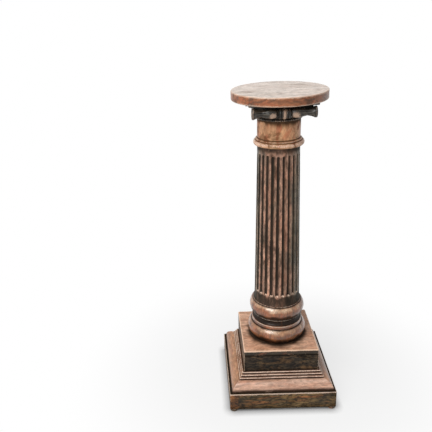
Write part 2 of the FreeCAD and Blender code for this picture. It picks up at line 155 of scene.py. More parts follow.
def woodMaterial(name, **look):
    look = {**woodPlain, **look}
    material = newMaterial(name)
    tree = material.node_tree
    place = addNode(tree, "ShaderNodeTexCoord").outputs["Object"]
    shift = (look["shift"], look["shift"] * 1.7, look["shift"] * 0.6)

    def texture(cells, offset, detail, rough, bend=0.0):
        return noiseValue(tree, place, look[cells], look["grain"], offset, detail, rough, bend)

    figure = texture("figureCells", shift, 5, 0.6, 0.8)
    streak = texture("streakCells", shift, 4, 0.6)
    pore = texture("poreCells", shift, 2, 0.5)
    cloud = texture("cells", (shift[1], 3, 1), 6, 0.68, 0.6)
    warm = texture("warmCells", (5, shift[0], 2), 5, 0.6, 1.2)
    green = texture("mossCells", (2, 7, shift[0]), 5, 0.62, 1.0)
    mottle = texture("mottleCells", (1, shift[2], 4), 5, 0.7, 0.4)
    speck = texture("speckCells", shift, 3, 0.7)
    wear, dirt, toneAndLight = (addNode(tree, "ShaderNodeAttribute", attribute_name=key).outputs["Fac"]
                        for key in maskNames)
    patina = tint(*look["patina"])

    # the wood itself: its figure, warm and greenish patches, mottling, dark streaks and pores
    def figured(shades):
        light, dark = (tint(*shade) for shade in shades)
        return mixColour(tree, spread(tree, figure, 0.36, 0.64), dark, light)

    colour = figured(look["body"])
    # the face colours that the tone mask lays on are, for the tori, the shaft and the round top, a painted
    # highlight, painted side shade or painted sheen
    if look["face"]:
        colour = mixColour(tree, toneAndLight, colour, figured(look["face"]))
    warmth = times(tree, spread(tree, warm, 0.48, 0.64), look["glowPatches"])
    warmth = times(tree, warmth, spread(tree, toneAndLight, 0.0, 1.0, 1.0, 0.3))
    colour = mixColour(tree, warmth, colour, tint(*look["glow"]))
    mossy = times(tree, spread(tree, green, 0.5, 0.66), look["mossPatches"])
    colour = mixColour(tree, mossy, colour, tint(*look["moss"]))
    shade = spread(tree, mottle, 0.36, 0.64, 1 - look["mottle"], 1 + 0.45 * look["mottle"])
    colour = mixColour(tree, 1.0, colour, shade, "MULTIPLY")
    for lines, low, high, share, depth in ((streak, 0.44, 0.66, look["streaks"], 0.62),
                                           (pore, 0.55, 0.75, look["pores"], 0.7)):
        drawn = times(tree, spread(tree, lines, low, high), share)
        colour = mixColour(tree, drawn, colour, mixColour(tree, depth, colour, patina))

    # old wax and dirt lie in patches and in every hollow, where the dirt mask also carries painted shade in
    # creases, recesses and under parts, and rubbed arrises show the bare wood
    patchy = times(tree, spread(tree, cloud, 0.48, 0.66), look["patches"])
    hollow = times(tree, dirt, spread(tree, cloud, 0.2, 0.6, 0.75, 1.15))
    hollow = times(tree, hollow, look["dirt"])
    grimeAndShade = mathNode(tree, "MAXIMUM", patchy, hollow)
    grimeAndShade = mathNode(tree, "MINIMUM", grimeAndShade, look["mostGrimeAndShade"])
    colour = mixColour(tree, grimeAndShade, colour, patina)
    ragged = mathNode(tree, "SUBTRACT", wear, spread(tree, speck, 0.35, 0.7, 0.0, 0.4))
    rubbed = mathNode(tree, "SUBTRACT", ragged, spread(tree, cloud, 0.45, 0.7, 0.0, 0.35))
    rubbed = times(tree, spread(tree, rubbed, 0.0, 0.55), look["wear"])
    colour = mixColour(tree, rubbed, colour, tint(*look["worn"]))

    roughness = spread(tree, cloud, 0.3, 0.7, *look["rough"])
    roughness = mathNode(tree, "ADD", roughness, times(tree, grimeAndShade, 0.25))
    roughness = mathNode(tree, "ADD", roughness, times(tree, streak, 0.08), clamped=True)
    height = times(tree, streak, 0.5)
    for lines, share in ((pore, 0.35), (speck, 0.45), (cloud, 1.6)):
        height = mathNode(tree, "ADD", height, times(tree, lines, share))
    relief = {"Height": height, "Strength": look["bump"], "Distance": look["bumpDepth"]}
    # the dirt and the painted shade are matt, so that they stay dark under a bright sky
    shine = spread(tree, grimeAndShade, 0.0, 0.9, 1.0, 0.2)
    shader = addNode(tree, "ShaderNodeBsdfPrincipled", {
        "Base Color": colour, "Roughness": roughness,
        "Normal": addNode(tree, "ShaderNodeBump", relief).outputs[0],
        "Specular IOR Level": times(tree, shine, look["gloss"]),
        "Coat Weight": times(tree, shine, look["coat"]), "Coat Roughness": look["coatRough"],
    })
    addNode(tree, "ShaderNodeOutputMaterial", {0: shader.outputs[0]})
    return material


steel = {"bare": (150, 148, 142), "rust": (104, 74, 54), "rough": (0.28, 0.45), "rustRough": 0.3,
         "blotchCells": (90, 90), "scratchCells": (3000, 200), "bump": 0.3, "bumpDepth": 0.0004}


def steelMaterial(name):
    material = newMaterial(name)
    tree = material.node_tree
    place = addNode(tree, "ShaderNodeTexCoord").outputs["Object"]
    blotch = noiseValue(tree, place, steel["blotchCells"], "Z", (0, 0, 0), 5, 0.65)
    scratch = noiseValue(tree, place, steel["scratchCells"], "Z", (0, 0, 0), 3, 0.6)
    rusty = spread(tree, blotch, 0.5, 0.68)
    roughness = spread(tree, scratch, 0.3, 0.7, *steel["rough"])
    relief = {"Height": blotch, "Strength": steel["bump"], "Distance": steel["bumpDepth"]}
    shader = addNode(tree, "ShaderNodeBsdfPrincipled", {
        "Base Color": mixColour(tree, rusty, tint(*steel["bare"]), tint(*steel["rust"])),
        "Roughness": mathNode(tree, "ADD", roughness, times(tree, rusty, steel["rustRough"])),
        "Metallic": spread(tree, rusty, 0.0, 1.0, 1.0, 0.2),
        "Normal":addNode(tree, "ShaderNodeBump", relief).outputs[0],
    })
    addNode(tree, "ShaderNodeOutputMaterial", {0: shader.outputs[0]})
    return material


# outlines: closed or open runs of points, in millimetres

def arcRun(start, middle, end, steps):
    # points on the circle through three points, without the first one
    (ax, ay), (bx, by), (cx, cy) = start, middle, end
    twice = 2 * (ax * (by - cy) + bx * (cy - ay) + cx * (ay - by))
    a, b, c = ax * ax + ay * ay, bx * bx + by * by, cx * cx + cy * cy
    ux = (a * (by - cy) + b * (cy - ay) + c * (ay - by)) / twice
    uy = (a * (cx - bx) + b * (ax - cx) + c * (bx - ax)) / twice
    radius = math.hypot(ax - ux, ay - uy)
    first, via, last = (math.atan2(y - uy, x - ux) for x, y in (start, middle, end))
    sweep = (last - first) % (2 * math.pi)
    if (via - first) % (2 * math.pi) > sweep:
        sweep -= 2 * math.pi
    angles = [first + sweep * n / steps for n in range(1, steps + 1)]
    return [(ux + radius * math.cos(t), uy + radius * math.sin(t)) for t in angles]


def easedCorners(points, radius, closed=True):
    # rounds each corner sharper than 20 degrees with a small curve
    eased = []
    count = len(points)
    for n, here in enumerate(points):
        corner = Vector(here)
        inward = Vector(points[n - 1]) - corner
        onward = Vector(points[(n + 1) % count]) - corner
        turn = math.pi - inward.angle(onward, math.pi)
        if turn < math.radians(20) or (not closed and n in (0, count - 1)):
            eased.append(here)
            continue
        reach = min(radius * math.tan(turn / 2), inward.length * 0.4, onward.length * 0.4)
        begin = corner + inward.normalized() * reach
        finish = corner + onward.normalized() * reach
        for quarter in range(5):
            t = quarter / 4
            eased.append(tuple(begin * (1 - t) ** 2 + corner * 2 * t * (1 - t) + finish * t ** 2))
    return eased


def divided(points, longest, closed=True):
    # splits long runs so that the masks have room to fade
    dense = []
    last = len(points) if closed else len(points) - 1
    for n in range(last):
        start, end = Vector(points[n]), Vector(points[(n + 1) % len(points)])
        parts = max(1, math.ceil((end - start).length / longest))
        dense += [tuple(start.lerp(end, part / parts)) for part in range(parts)]
    if not closed:
        dense.append(points[-1])
    return dense


def boardOutline(outer, thick, low, high):
    return [(outer - thick, low), (outer, low), (outer, high), (outer - thick, high)]


# what a piece's own settings leave out: seams are the places on its outline where it meets the next piece

def nowhere(*place):
    return 0.0


plainLook = {"uneven": 0.3, "seams": (), "fade": 6.0, "cornerRound": 1.5, "cornerWear": 0.5, "cornerRub": 1.0,
             "rub": 1.0, "dirtAt": nowhere, "toneAt": nowhere}
cornerReach = 3.0
mitreGap = 0.12
sideTurns = {"front": 0, "right": 90, "rear": 180, "left": 270}


def outlineMasks(points, look, closed=True):
    # rubbed where the outline stands proud, dirty where it turns in or meets the next piece
    look = {**plainLook, **look}
    reach = look["reach"]
    wear, dirt = [], []
    path = np.array(points, float)
    step = np.linalg.norm(np.roll(path, -1, 0) - path, axis=1)
    if not closed:
        step[-1] = 0
    travel = np.concatenate([[0], np.cumsum(step)])
    total = travel[-1]
    loop = np.vstack([path, path[:1]]) if closed else np.vstack([path, path[-1:]])

    def pointAt(distance):
        distance = distance % total if closed else min(max(distance, 0), total)
        return np.array([np.interp(distance, travel, loop[:, k]) for k in (0, 1)])

    area = sum(path[n - 1][0] * path[n][1] - path[n][0] * path[n - 1][1] for n in range(len(path)))
    outward = 1 if area > 0 else -1
    for n, point in enumerate(path):
        back, fore = pointAt(travel[n] - reach), pointAt(travel[n] + reach)
        along = fore - back
        length = np.hypot(*along) or 1.0
        normal = np.array([along[1], -along[0]]) / length * outward
        proud = float(np.dot(point - (back + fore) / 2, normal)) / reach
        close = max((peak(math.dist(point, seam), 0, look["fade"]) for seam in look["seams"]), default=0.0)
        wear.append(clamp((proud - 0.08) / 0.35) * (1 - close))
        dirt.append(max(clamp((-proud - 0.05) / 0.3), close))
    return wear, dirt


# mesh builders

def span(node):
    # a node's box in millimetres
    low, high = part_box(node)
    return {"low": low.z / mm, "high": high.z / mm, "x": high.x / mm, "y": high.y / mm,
            "boxLow": low / mm, "boxHigh": high / mm}


def newSkin():
    return {"points": [], **{key: [] for key in maskNames}}


def addPoint(skin, point, wear=0.0, dirt=0.0, toneAndLight=0.0):
    skin["points"].append(tuple(point))
    for key, share in zip(maskNames, (wear, dirt, toneAndLight)):
        skin[key].append(clamp(share))


def newPiece(name, skin, faces, material, sharp=50):
    # the finished piece that stands for the plain solid of the same name
    mesh = bpy.data.meshes.new(name + "_finished")
    mesh.from_pydata([tuple(c * mm for c in point) for point in skin["points"]], [], faces)
    solid = bmesh.new()
    solid.from_mesh(mesh)
    bmesh.ops.recalc_face_normals(solid, faces=solid.faces)
    if solid.calc_volume(signed=True) < 0:
        bmesh.ops.reverse_faces(solid, faces=solid.faces)
    solid.to_mesh(mesh)
    solid.free()
    for key in maskNames:
        mesh.attributes.new(key, "FLOAT", "POINT").data.foreach_set("value", skin[key])
    mesh.shade_smooth()
    mesh.set_sharp_from_angle(angle=math.radians(sharp))
    mesh.materials.append(material)
    piece = bpy.data.objects.new(name + "_finished", mesh)
    scene.collection.objects.link(piece)
    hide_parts(name)
    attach(piece, "root")


def gridFaces(rows, columns, wrapRows, wrapColumns, flip=False):
    faces = []
    for row in range(rows if wrapRows else rows - 1):
        for column in range(columns if wrapColumns else columns - 1):
            a = row * columns + column
            b = row * columns + (column + 1) % columns
            c = (row + 1) % rows * columns + (column + 1) % columns
            d = (row + 1) % rows * columns + column
            faces.append((a, d, c, b) if flip else (a, b, c, d))
    return faces


def cappedFaces(pointCount, around, flip=False):
    # rows of points round an axis, between a first and a last point that close the two ends
    rows = (pointCount - 2) // around
    faces = [tuple(i + 1 for i in face) for face in gridFaces(rows, around, False, True, flip)]
    last = pointCount - 1
    for n in range(around):
        m = (n + 1) % around
        ends = [(0, 1 + m, 1 + n), (last, last - around + n, last - around + m)]
        faces += [end[::-1] for end in ends] if flip else ends
    return faces


def noShape(radius, height, angle):
    return (0.0, 0.0, 0.0, 0.0)


def turnedPiece(name, outline, look, material, segments=224, centre=(0, 0), shape=noShape):
    # spins an outline (radius, height) about an upright axis; shape gives extra radius, wear, dirt with painted
    # shade, and tone with painted light
    onAxis = outline[0][0] == 0
    outline = divided(easedCorners(outline, look["ease"], not onAxis), look["step"], not onAxis)
    wear, dirt = outlineMasks(outline, look, not onAxis)
    skin = newSkin()
    for (radius, height), rubbed, darkened in zip(outline, wear, dirt):
        if radius < 0.01:
            addPoint(skin, (*centre, height), rubbed, darkened, shape(0.0, height, 0.0)[3])
            continue
        for n in range(segments):
            angle = 2 * math.pi * n / segments
            dent = abs(worn((math.cos(angle) * radius, math.sin(angle) * radius, height), look["uneven"]))
            swell, moreWear, moreDirtAndShade, toneAndLight = shape(radius, height, angle)
            reach = radius + swell - dent
            point = (centre[0] + reach * math.cos(angle), centre[1] + reach * math.sin(angle), height)
            addPoint(skin, point, rubbed + moreWear, darkened + moreDirtAndShade, toneAndLight)
    if onAxis:
        faces = cappedFaces(len(skin["points"]), segments)
    else:
        faces = gridFaces(len(outline), segments, True, True)
    newPiece(name, skin, faces, material)


def mitredPiece(name, side, outline, look, material, columns=81):
    # runs an outline (distance, height) along one side of a square, its ends cut at 45 degrees
    look = {**plainLook, **look}
    outline = divided(easedCorners(outline, look["ease"]), look["step"])
    wear, dirt = outlineMasks(outline, look)
    turn = Matrix.Rotation(math.radians(sideTurns[side]), 3, "Z")
    skin = newSkin()
    for (distance, height), proud, sunk in zip(outline, wear, dirt):
        for n in range(columns):
            share = 2 * n / (columns - 1) - 1
            share = math.copysign(abs(share) ** 0.7, share)
            cornerNear = max(0.0, 1 - (1 - abs(share)) * distance / cornerReach)
            x = share * (distance - mitreGap)
            dent = abs(worn((x, distance, height), look["uneven"], 0.03))
            drop = dent * proud + cornerNear ** 2 * look["cornerWear"]
            point = turn @ Vector((x - math.copysign(drop * abs(share), share), -(distance - drop), height))
            darkened = look["dirtAt"](x, distance, height)
            rubbed = proud * (1 + 0.5 * cornerNear) + 0.55 * cornerNear * look["cornerRub"]
            addPoint(skin, point, rubbed * (1 - darkened), sunk + darkened, look["toneAt"](x, distance, height))
    rows = len(outline)
    faces = gridFaces(rows, columns, True, False, flip=True)
    faces.append(tuple(row * columns for row in range(rows))[::-1])
    faces.append(tuple(row * columns + columns - 1 for row in range(rows)))
    newPiece(name, skin, faces, material)


def boardPiece(name, look, material):
    # square board with softened edges and a round hole; its rows run out below, up the edge and back in on top
    look = {**plainLook, **look}
    size, bore, perSide = span(name), look["bore"], look["perSide"]
    half = max(size["x"], size["y"])
    outline = boardOutline(half, half - bore, size["low"], size["high"])
    outline = divided(easedCorners(outline, look["ease"]), look["step"])
    wear, dirt = outlineMasks(outline, look)
    around = []
    for side in range(4):
        turn = Matrix.Rotation(math.radians(90 * side), 2)
        for n in range(perSide):
            share = 2 * n / perSide - 1
            share = math.copysign(abs(share) ** 0.6, share)
            edge = turn @ Vector((share, -1))
            clip = abs(edge.x) + abs(edge.y) - (2 - look["cornerRound"] / half)
            if clip > 0:
                edge = edge * (1 - clip / 2)
            around.append((edge, abs(share)))
    skin = newSkin()
    for (distance, height), proud, sunk in zip(outline, wear, dirt):
        squareness = min(1.0, (distance - bore) / max(1.0, 0.4 * (half - bore)))
        onTop = height > (size["low"] + size["high"]) / 2
        for edge, share in around:
            plan = edge.normalized().lerp(edge, squareness) * distance
            x, y = plan.x * size["x"] / half, plan.y * size["y"] / half
            dent = abs(worn((x, y, height), look["uneven"], 0.03)) * proud
            onRim = distance > half - cornerReach
            cornerNear = max(0.0, 1 - (1 - share) * half / cornerReach) if onRim else 0.0
            point = (x - math.copysign(dent, x), y - math.copysign(dent, y), height - dent * onTop)
            rubbed = min(1.0, proud + 0.5 * cornerNear) * look["rub"]
            addPoint(skin, point, rubbed, sunk + look["dirtAt"](x, y, height), look["toneAt"](x, y, height))
    newPiece(name, skin, gridFaces(len(outline), 4 * perSide, True, True), material)


# finishes of this stand

# its pale face colours are worn wood with a painted sheen
topFinish = woodMaterial(
    "top_wax", grain="X", body=((158, 98, 62), (96, 60, 38)), face=((216, 200, 187), (196, 177, 162)),
    glow=(172, 86, 44), glowPatches=0.5, warmCells=(9, 60), patches=0.32, patina=(56, 40, 26),
    worn=(226, 200, 178), wear=0.4, rough=(0.3, 0.48), coat=0.35, mottle=0.35)
capitalFinish = woodMaterial(
    "capital_black_stain", grain="X", body=((74, 68, 60), (42, 40, 36)), glow=(92, 70, 50), patches=0.55,
    patina=(20, 20, 18), worn=(208, 174, 148), wear=0.62, rough=(0.3, 0.5), gloss=0.3, coat=0.35, mottle=0.6,
    shift=2.1)
neckFinish = woodMaterial(
    "neck_honey_wax", grain="Z", body=((216, 164, 118), (194, 138, 96)), glow=(172, 80, 42), glowPatches=0.6,
    warmCells=(16, 22), mossPatches=0.25, cells=(17, 22), patches=0.65, patina=(62, 44, 27),
    worn=(228, 196, 174), rough=(0.3, 0.5), streaks=0.15, mottle=0.18, bump=0.2, shift=4.3)
# the dark olive face colours are the shaft's painted side shade
shaftFinish = woodMaterial(
    "shaft_brown_wax", grain="Z", body=((206, 158, 132), (146, 108, 86)), face=((122, 106, 84), (80, 70, 54)),
    glow=(182, 110, 74), glowPatches=0.35, moss=(84, 78, 60), mossPatches=0.55, cells=(11, 22), patches=0.6,
    patina=(34, 30, 25), worn=(216, 186, 164), rough=(0.32, 0.52), coat=0.3, streaks=0.45, mottle=0.5, shift=1.3)
# the pale face colours are the tori's painted highlight
baseFinish = woodMaterial(
    "base_red_wax", grain="Z", body=((166, 100, 56), (108, 64, 34)), face=((224, 192, 160), (176, 126, 88)),
    glow=(168, 84, 40), glowPatches=0.5, patches=0.35, patina=(21, 17, 12), worn=(222, 200, 180), wear=0.5,
    rough=(0.14, 0.26), gloss=0.45, coat=0.8, bump=0.15, mottle=0.3, shift=3.7)
plinthTopFinish = woodMaterial(
    "plinth_top_rubbed", grain="X", body=((60, 50, 38), (36, 31, 24)), face=((224, 178, 148), (198, 146, 114)),
    glow=(196, 112, 72), glowPatches=0.35, patches=0.22, patina=(38, 30, 22), worn=(234, 198, 168),
    rough=(0.34, 0.5), gloss=0.25, coat=0.2, streaks=0.4, mottle=0.35, shift=5.9)
sideWood = {
    "plinth": dict(body=((68, 56, 42), (36, 30, 24)), glow=(112, 82, 50), glowPatches=0.55, patches=0.55,
                   patina=(20, 16, 12), worn=(204, 180, 152), rough=(0.35, 0.6), gloss=0.15, coat=0.1,
                   mottle=0.9),
    "moulding": dict(body=((224, 184, 160), (192, 148, 124)), glow=(194, 122, 84), patches=0.2, mossPatches=0.08,
                     patina=(36, 22, 12), worn=(230, 202, 182), rough=(0.26, 0.4), coat=0.5, mottle=0.3),
    "skirt": dict(body=((124, 98, 60), (74, 58, 35)), face=((180, 114, 62), (116, 74, 42)), glow=(168, 96, 48),
                  glowPatches=0.5, warmCells=(8, 70), patches=0.5, patina=(32, 26, 17), worn=(206, 182, 164),
                  rough=(0.35, 0.55), gloss=0.2, coat=0.1, mottle=0.85),
}
flankBody = {"moulding": ((190, 138, 98), (146, 100, 68)), "plinth": ((128, 98, 72), (84, 64, 46))}
footFinish = woodMaterial("foot_dark_wood", body=((82, 68, 46), (48, 40, 28)), patches=0.4, wear=0.25, gloss=0.2,
                          coat=0.1, mottle=0.7, shift=8.1)
innerFinish = woodMaterial(
    "inner_raw_softwood", grain="X", body=((204, 168, 120), (176, 136, 92)), glow=(190, 140, 90), patches=0.12,
    patina=(104, 78, 52), rough=(0.6, 0.8), coat=0.0, shift=6.4)
uprightFinish = woodMaterial(
    "inner_upright_softwood", grain="Z", body=((198, 158, 112), (168, 128, 86)), glow=(190, 140, 90),
    patches=0.12, patina=(104, 78, 52), rough=(0.6, 0.8), coat=0.0, shift=7.2)
steelFinish = steelMaterial("dull_steel")
print("stand: finishes made")


# round top: a board with a softened rim, worn pale on its face, the pale face colour being also a painted sheen
# of the light from above

roundTop = {"ease": 3.2, "step": 4.0, "reach": 4.0, "uneven": 0.35, "faceDepth": 0.6}
top = span("round_top")
roundTop["seams"] = [(0.5 * top["x"], top["low"])]


def topShape(radius, height, angle):
    # the face takes the pale face colour, a painted sheen
    return (0.0, 0.0, 0.0, 1.0 if height > top["high"] - roundTop["faceDepth"] else 0.0)


turnedPiece("round_top", [(0, top["low"]), (top["x"], top["low"]), (top["x"], top["high"]), (0, top["high"])],
            roundTop, topFinish, segments=256, shape=topShape)

# abacus and the block between the bolsters

abacusBoard = {"ease": 1.0, "step": 6.0, "reach": 3.0, "bore": 3.0, "perSide": 24, "cornerRound": 2.5,
               "rub": 0.25}
boardPiece("abacus_board", abacusBoard, capitalFinish)
capitalBlock = {"ease": 0.8, "step": 5.0, "reach": 3.0, "bore": 16.1, "perSide": 24}
boardPiece("capital_block", capitalBlock, capitalFinish)
print("stand: top and abacus made")

# bolsters: a belt of three ridges, a leaf-wrapped bud each side and a scrolled volute at each end

bolster = {
    "disc": 5.0, "relief": 1.6, "belt": 19.0, "sideBelt": 18.2, "beltRoot": 16.5, "beltEdge": 1.5,
    "ridgePitch": 10.5, "ridgeWidth": 9.0, "sideRidgeWidth": 5.6, "budStart": 19.0, "budRoot": 9.5,
    "budFull": 33.7, "budRadius": 16.0, "budEnd": 54.0, "waistPlace": 66.0, "waist": 10.5, "flareRise": 2.0,
    "leafCount": 9, "leafDepth": 1.1, "scrollTurns": 2.4, "eye": 4.2, "rimBand": 1.6, "eyeGroove": 0.9,
    "bandWidth": 0.62, "faceRows": 22, "around": 144, "seatGap": 0.05, "uneven": 0.25,
    "wearAndLightSide": math.radians(212), "reach": 2.4,
    # places along half of the belt, and steps out and in on the disc's rim
    "beltStations": (0.0, 1.5, 3.0, 4.0, 4.6, 5.4, 6.4, 7.4, 8.0, 8.6, 9.6, 10.5, 11.4, 12.4, 13.0, 13.6,
                     15.0, 17.4, 18.4, 19.0, 19.6, 20.5, 22.0),
    "rimSteps": ((0.0, 0.5), (0.6, 0.0), (1.9, 0.1), (2.3, 0.9), (2.9, 0.9), (3.3, 0.1)),
}
roll = span("front_bolster")
bolster["half"] = roll["x"]
bolster["axisY"] = roll["boxLow"].y + (roll["high"] - roll["low"]) / 2
bolster["axisZ"] = (roll["high"] + roll["low"]) / 2
bolster["rim"] = roll["boxHigh"].y - bolster["axisY"]
bolster["discStart"] = bolster["half"] - bolster["relief"] - bolster["disc"]
bolster["seat"] = span("capital_block")["y"] + bolster["seatGap"]


def skinRun():
    # radius along one half of the roll past the belt: leafed bud, narrow waist and flare to the volute
    b = bolster
    bud = [(b["budStart"], b["budRoot"])]
    bud += arcRun(bud[0], (b["budFull"], b["budRadius"]), (b["budEnd"], (b["budRadius"] + b["waist"]) / 2), 24)
    bud.append((b["waistPlace"], b["waist"]))
    middle = ((b["waistPlace"] + b["discStart"]) / 2, b["waist"] + b["flareRise"])
    bud += arcRun(bud[-1], middle, (b["discStart"], b["rim"] - 0.8), 16)
    return [p[0] for p in bud], [p[1] for p in bud]


bolsterSkin = skinRun()


def bolsterRadius(x):
    # distance from the roll's axis to its skin, at a place along it
    b = bolster
    x = abs(x)
    if x >= b["budStart"]:
        return float(np.interp(x, *bolsterSkin))
    if x >= b["budStart"] - b["beltEdge"]:
        share = (x - b["budStart"] + b["beltEdge"]) / b["beltEdge"]
        return b["beltRoot"] + (b["budRoot"] - b["beltRoot"]) * share
    ridges = ((0, b["belt"], b["ridgeWidth"]), (b["ridgePitch"], b["sideBelt"], b["sideRidgeWidth"]))
    radius = b["beltRoot"]
    for place, ridgeTop, width in ridges:
        lift = max(0.0, 1 - (abs(x - place) / (width / 2)) ** 2)
        radius = max(radius, b["beltRoot"] + (ridgeTop - b["beltRoot"]) * lift ** 0.6)
    return radius


def leafCut(x, angle):
    # shallow furrows between the leaves that wrap each bud, running out along the flare
    b = bolster
    x = abs(x)
    fade = clamp((x - b["budStart"]) / 6) * clamp((b["discStart"] - 1.5 - x) / 8)
    ribs = abs(math.sin(b["leafCount"] * angle / 2 + 0.25 * math.sin(x * 0.11)))
    return b["leafDepth"] * fade * (1 - ribs ** 0.55)


def scrollRelief(radius, angle):
    # raised spiral band that winds in to a round eye, and the share of it that lies deep
    b = bolster
    if radius < b["eye"]:
        return b["relief"] * math.sqrt(max(0.0, 1 - 0.55 * (radius / b["eye"]) ** 2)), 0.0
    pitch = (b["rim"] - b["eye"]) / b["scrollTurns"]
    phase = (b["rim"] - radius) / pitch - angle / (2 * math.pi)
    band = abs(phase - round(phase)) * 2
    lift = max(0.0, 1 - (band / b["bandWidth"]) ** 2) ** 0.7
    if radius > b["rim"] - b["rimBand"]:
        lift = 1.0
    if radius < b["eye"] + b["eyeGroove"]:
        lift = min(lift, 0.25)
    return b["relief"] * lift, 1 - lift


def bolsterPiece(name, side):
    # side is 1 for the front roll and -1 for its mirror image at the rear
    b = bolster
    around = b["around"]
    stations = list(b["beltStations"]) + list(np.arange(24.0, b["discStart"] - 0.6, 2.0))
    stations.append(b["discStart"] - 0.4)
    stations = [-x for x in stations[:0:-1]] + stations
    disc = [(b["discStart"] + out, b["rim"] - drop) for out, drop in b["rimSteps"]]
    disc.append((b["half"] - b["relief"] * 0.4, b["rim"]))
    profile = [(-x, radius) for x, radius in disc[::-1]] + [(x, bolsterRadius(x)) for x in stations] + disc
    wear, dirt = outlineMasks(profile, b, closed=False)
    skin = newSkin()

    def add(x, radius, angle, rubbed, darkShare):
        y = min(b["axisY"] + radius * math.cos(angle), -b["seat"])
        addPoint(skin, (x, y * side, b["axisZ"] + radius * math.sin(angle)), rubbed, darkShare)

    def scrollFace(end):
        # the volute's face, from its middle outwards at the first end and back inwards at the other
        radii = [b["rim"] * (1 - row / b["faceRows"]) for row in range(1, b["faceRows"])]
        for radius in radii if end > 0 else radii[::-1]:
            for n in range(around):
                angle = 2 * math.pi * n / around
                lift, deep = scrollRelief(radius, (angle - math.pi / 2) % (2 * math.pi))
                add(end * (b["half"] - b["relief"] + lift), radius, angle, 0.75 * (1 - deep) - 0.1, 0.9 * deep)

    add(-(b["half"] - 0.01), 0, 0, 0.6, 0)
    scrollFace(-1)
    for (x, radius), proud, sunk in zip(profile, wear, dirt):
        # hands rub the swell of each bud and the middle ridge, below and in front
        away = abs(x)
        swell = smooth(away, b["budStart"] + 1, b["budStart"] + 8)
        swell *= smooth(away, b["budEnd"] - 2, b["budEnd"] - 20)
        ridge = smooth(away, b["ridgeWidth"] / 2, b["ridgeWidth"] / 2 - 1.2)
        edge = 0.75 if away > b["discStart"] - 1 else 0.35
        onLeaf = b["budStart"] < away < b["discStart"]
        for n in range(around):
            angle = 2 * math.pi * n / around
            cut = leafCut(x, angle) if onLeaf else 0.0
            facing = max(0.0, math.cos(angle - b["wearAndLightSide"]))
            share = cut / b["leafDepth"]
            rubbed = max(edge * proud, swell * facing ** 3 * (1 - 0.3 * share), ridge * (0.25 + facing ** 1.5))
            darkShare = max(0.9 * sunk, 0.9 * share) * (1 - swell * facing)
            add(x, radius - cut - abs(worn((x, radius * angle, 0), b["uneven"], 0.12)), angle, rubbed, darkShare)
    scrollFace(1)
    add(b["half"] - 0.01, 0, 0, 0.6, 0)
    faces = cappedFaces(len(skin["points"]), around, flip=side > 0)
    newPiece(name, skin, faces, capitalFinish, sharp=70)


bolsterPiece("front_bolster", 1)
bolsterPiece("rear_bolster", -1)
print("stand: bolsters and volutes made")

# echinus: eggs in their shells over a row of beads

neckRadius = 67.7  # of the plain neck, which the echinus stands out from
echinus = {"ease": 0.8, "step": 6.0, "reach": 3.0, "uneven": 0.2, "eggs": 22, "beads": 66, "eggRise": 2.2,
           "beadRise": 1.0, "fillet": 6.0, "bore": 16.2, "crownRise": 3.0, "crownDrop": 2.9, "footStep": 1.5}
collar = span("echinus_ring")
echinus["foot"] = neckRadius + echinus["footStep"]
echinus["crown"] = collar["x"] - echinus["eggRise"] * 0.3
echinus["beadHead"] = collar["low"] + echinus["fillet"]
echinus["ovoloHead"] = collar["high"] - echinus["fillet"]


def eggShape(radius, height, angle):
    e = echinus
    share = (height - e["beadHead"]) / (e["ovoloHead"] - e["beadHead"])
    if radius < e["foot"] - 1 or share > 1.02:
        return (0.0, -0.8, 0.6, 0.0)
    if share < 0:
        bead = abs(math.sin(e["beads"] * angle / 2))
        level = max(0.0, 1 - ((height - collar["low"]) / e["fillet"] * 2 - 1) ** 2)
        return (e["beadRise"] * level * bead ** 0.6 - 0.4, 0.25 * bead * level - 0.8, 0.9 * (1 - bead), 0.0)
    pitch = 2 * math.pi / e["eggs"]
    off = abs((angle % pitch) / pitch - 0.5) * 2
    egg = 1 - (off / 0.62) ** 2 - ((share - 0.56) / 0.5) ** 2
    if egg > 0:
        return (e["eggRise"] * (math.sqrt(egg) - 0.55), 0.45 * egg, 0.0, 0.0)
    shell = peak(egg, -0.42, 0.22)
    dart = peak(off, 1, 0.12) * clamp(1.3 - share)
    lift = max(0.8 * shell, dart)
    return (e["eggRise"] * (lift * 0.6 - 0.55), 0.45 * lift, 0.95 * (1 - lift), 0.0)


def echinusOutline():
    e = echinus
    beadMiddle = (e["foot"] + e["fillet"] / 2, collar["low"] + e["fillet"] / 2)
    ovoloMiddle = ((e["foot"] + e["crown"]) / 2 + e["crownRise"],
                   (e["beadHead"] + e["ovoloHead"]) / 2 - e["crownDrop"])
    run = [(e["bore"], collar["low"]), (e["foot"], collar["low"])]
    run += arcRun(run[-1], beadMiddle, (e["foot"], e["beadHead"]), 8)
    run += arcRun(run[-1], ovoloMiddle, (e["crown"], e["ovoloHead"]), 32)
    return run + [(e["crown"] - 3, collar["high"]), (e["bore"], collar["high"])]


turnedPiece("echinus_ring", echinusOutline(), echinus, capitalFinish, segments=528,
            shape=eggShape)

# neck drum: a plain neck, a sloped fillet and a half-round ring

neck = {"ease": 1.0, "step": 3.0, "reach": 3.0, "uneven": 0.3, "ring": 17.0, "fillet": 73.0,
        "filletHeight": 7.0, "capitalShade": 24.0, "capitalShadeStart": 8.0, "ringRub": 0.3, "ringUnderShade": 0.9}
drum = span("neck_drum")
ringHead = drum["low"] + neck["ring"]
ringRoot = drum["x"] - neck["ring"] / 2
neck["seams"] = [(neckRadius, drum["high"]), (ringRoot, drum["low"]), (ringRoot, ringHead)]
neckOutline = [(0, drum["low"]), (ringRoot, drum["low"])]
neckOutline += arcRun(neckOutline[-1], (drum["x"], (drum["low"] + ringHead) / 2), (ringRoot, ringHead), 20)
neckOutline += [(neck["fillet"], ringHead), (neck["fillet"], ringHead + neck["filletHeight"] / 2),
                (neckRadius, ringHead + neck["filletHeight"]), (neckRadius, drum["high"]), (0, drum["high"])]


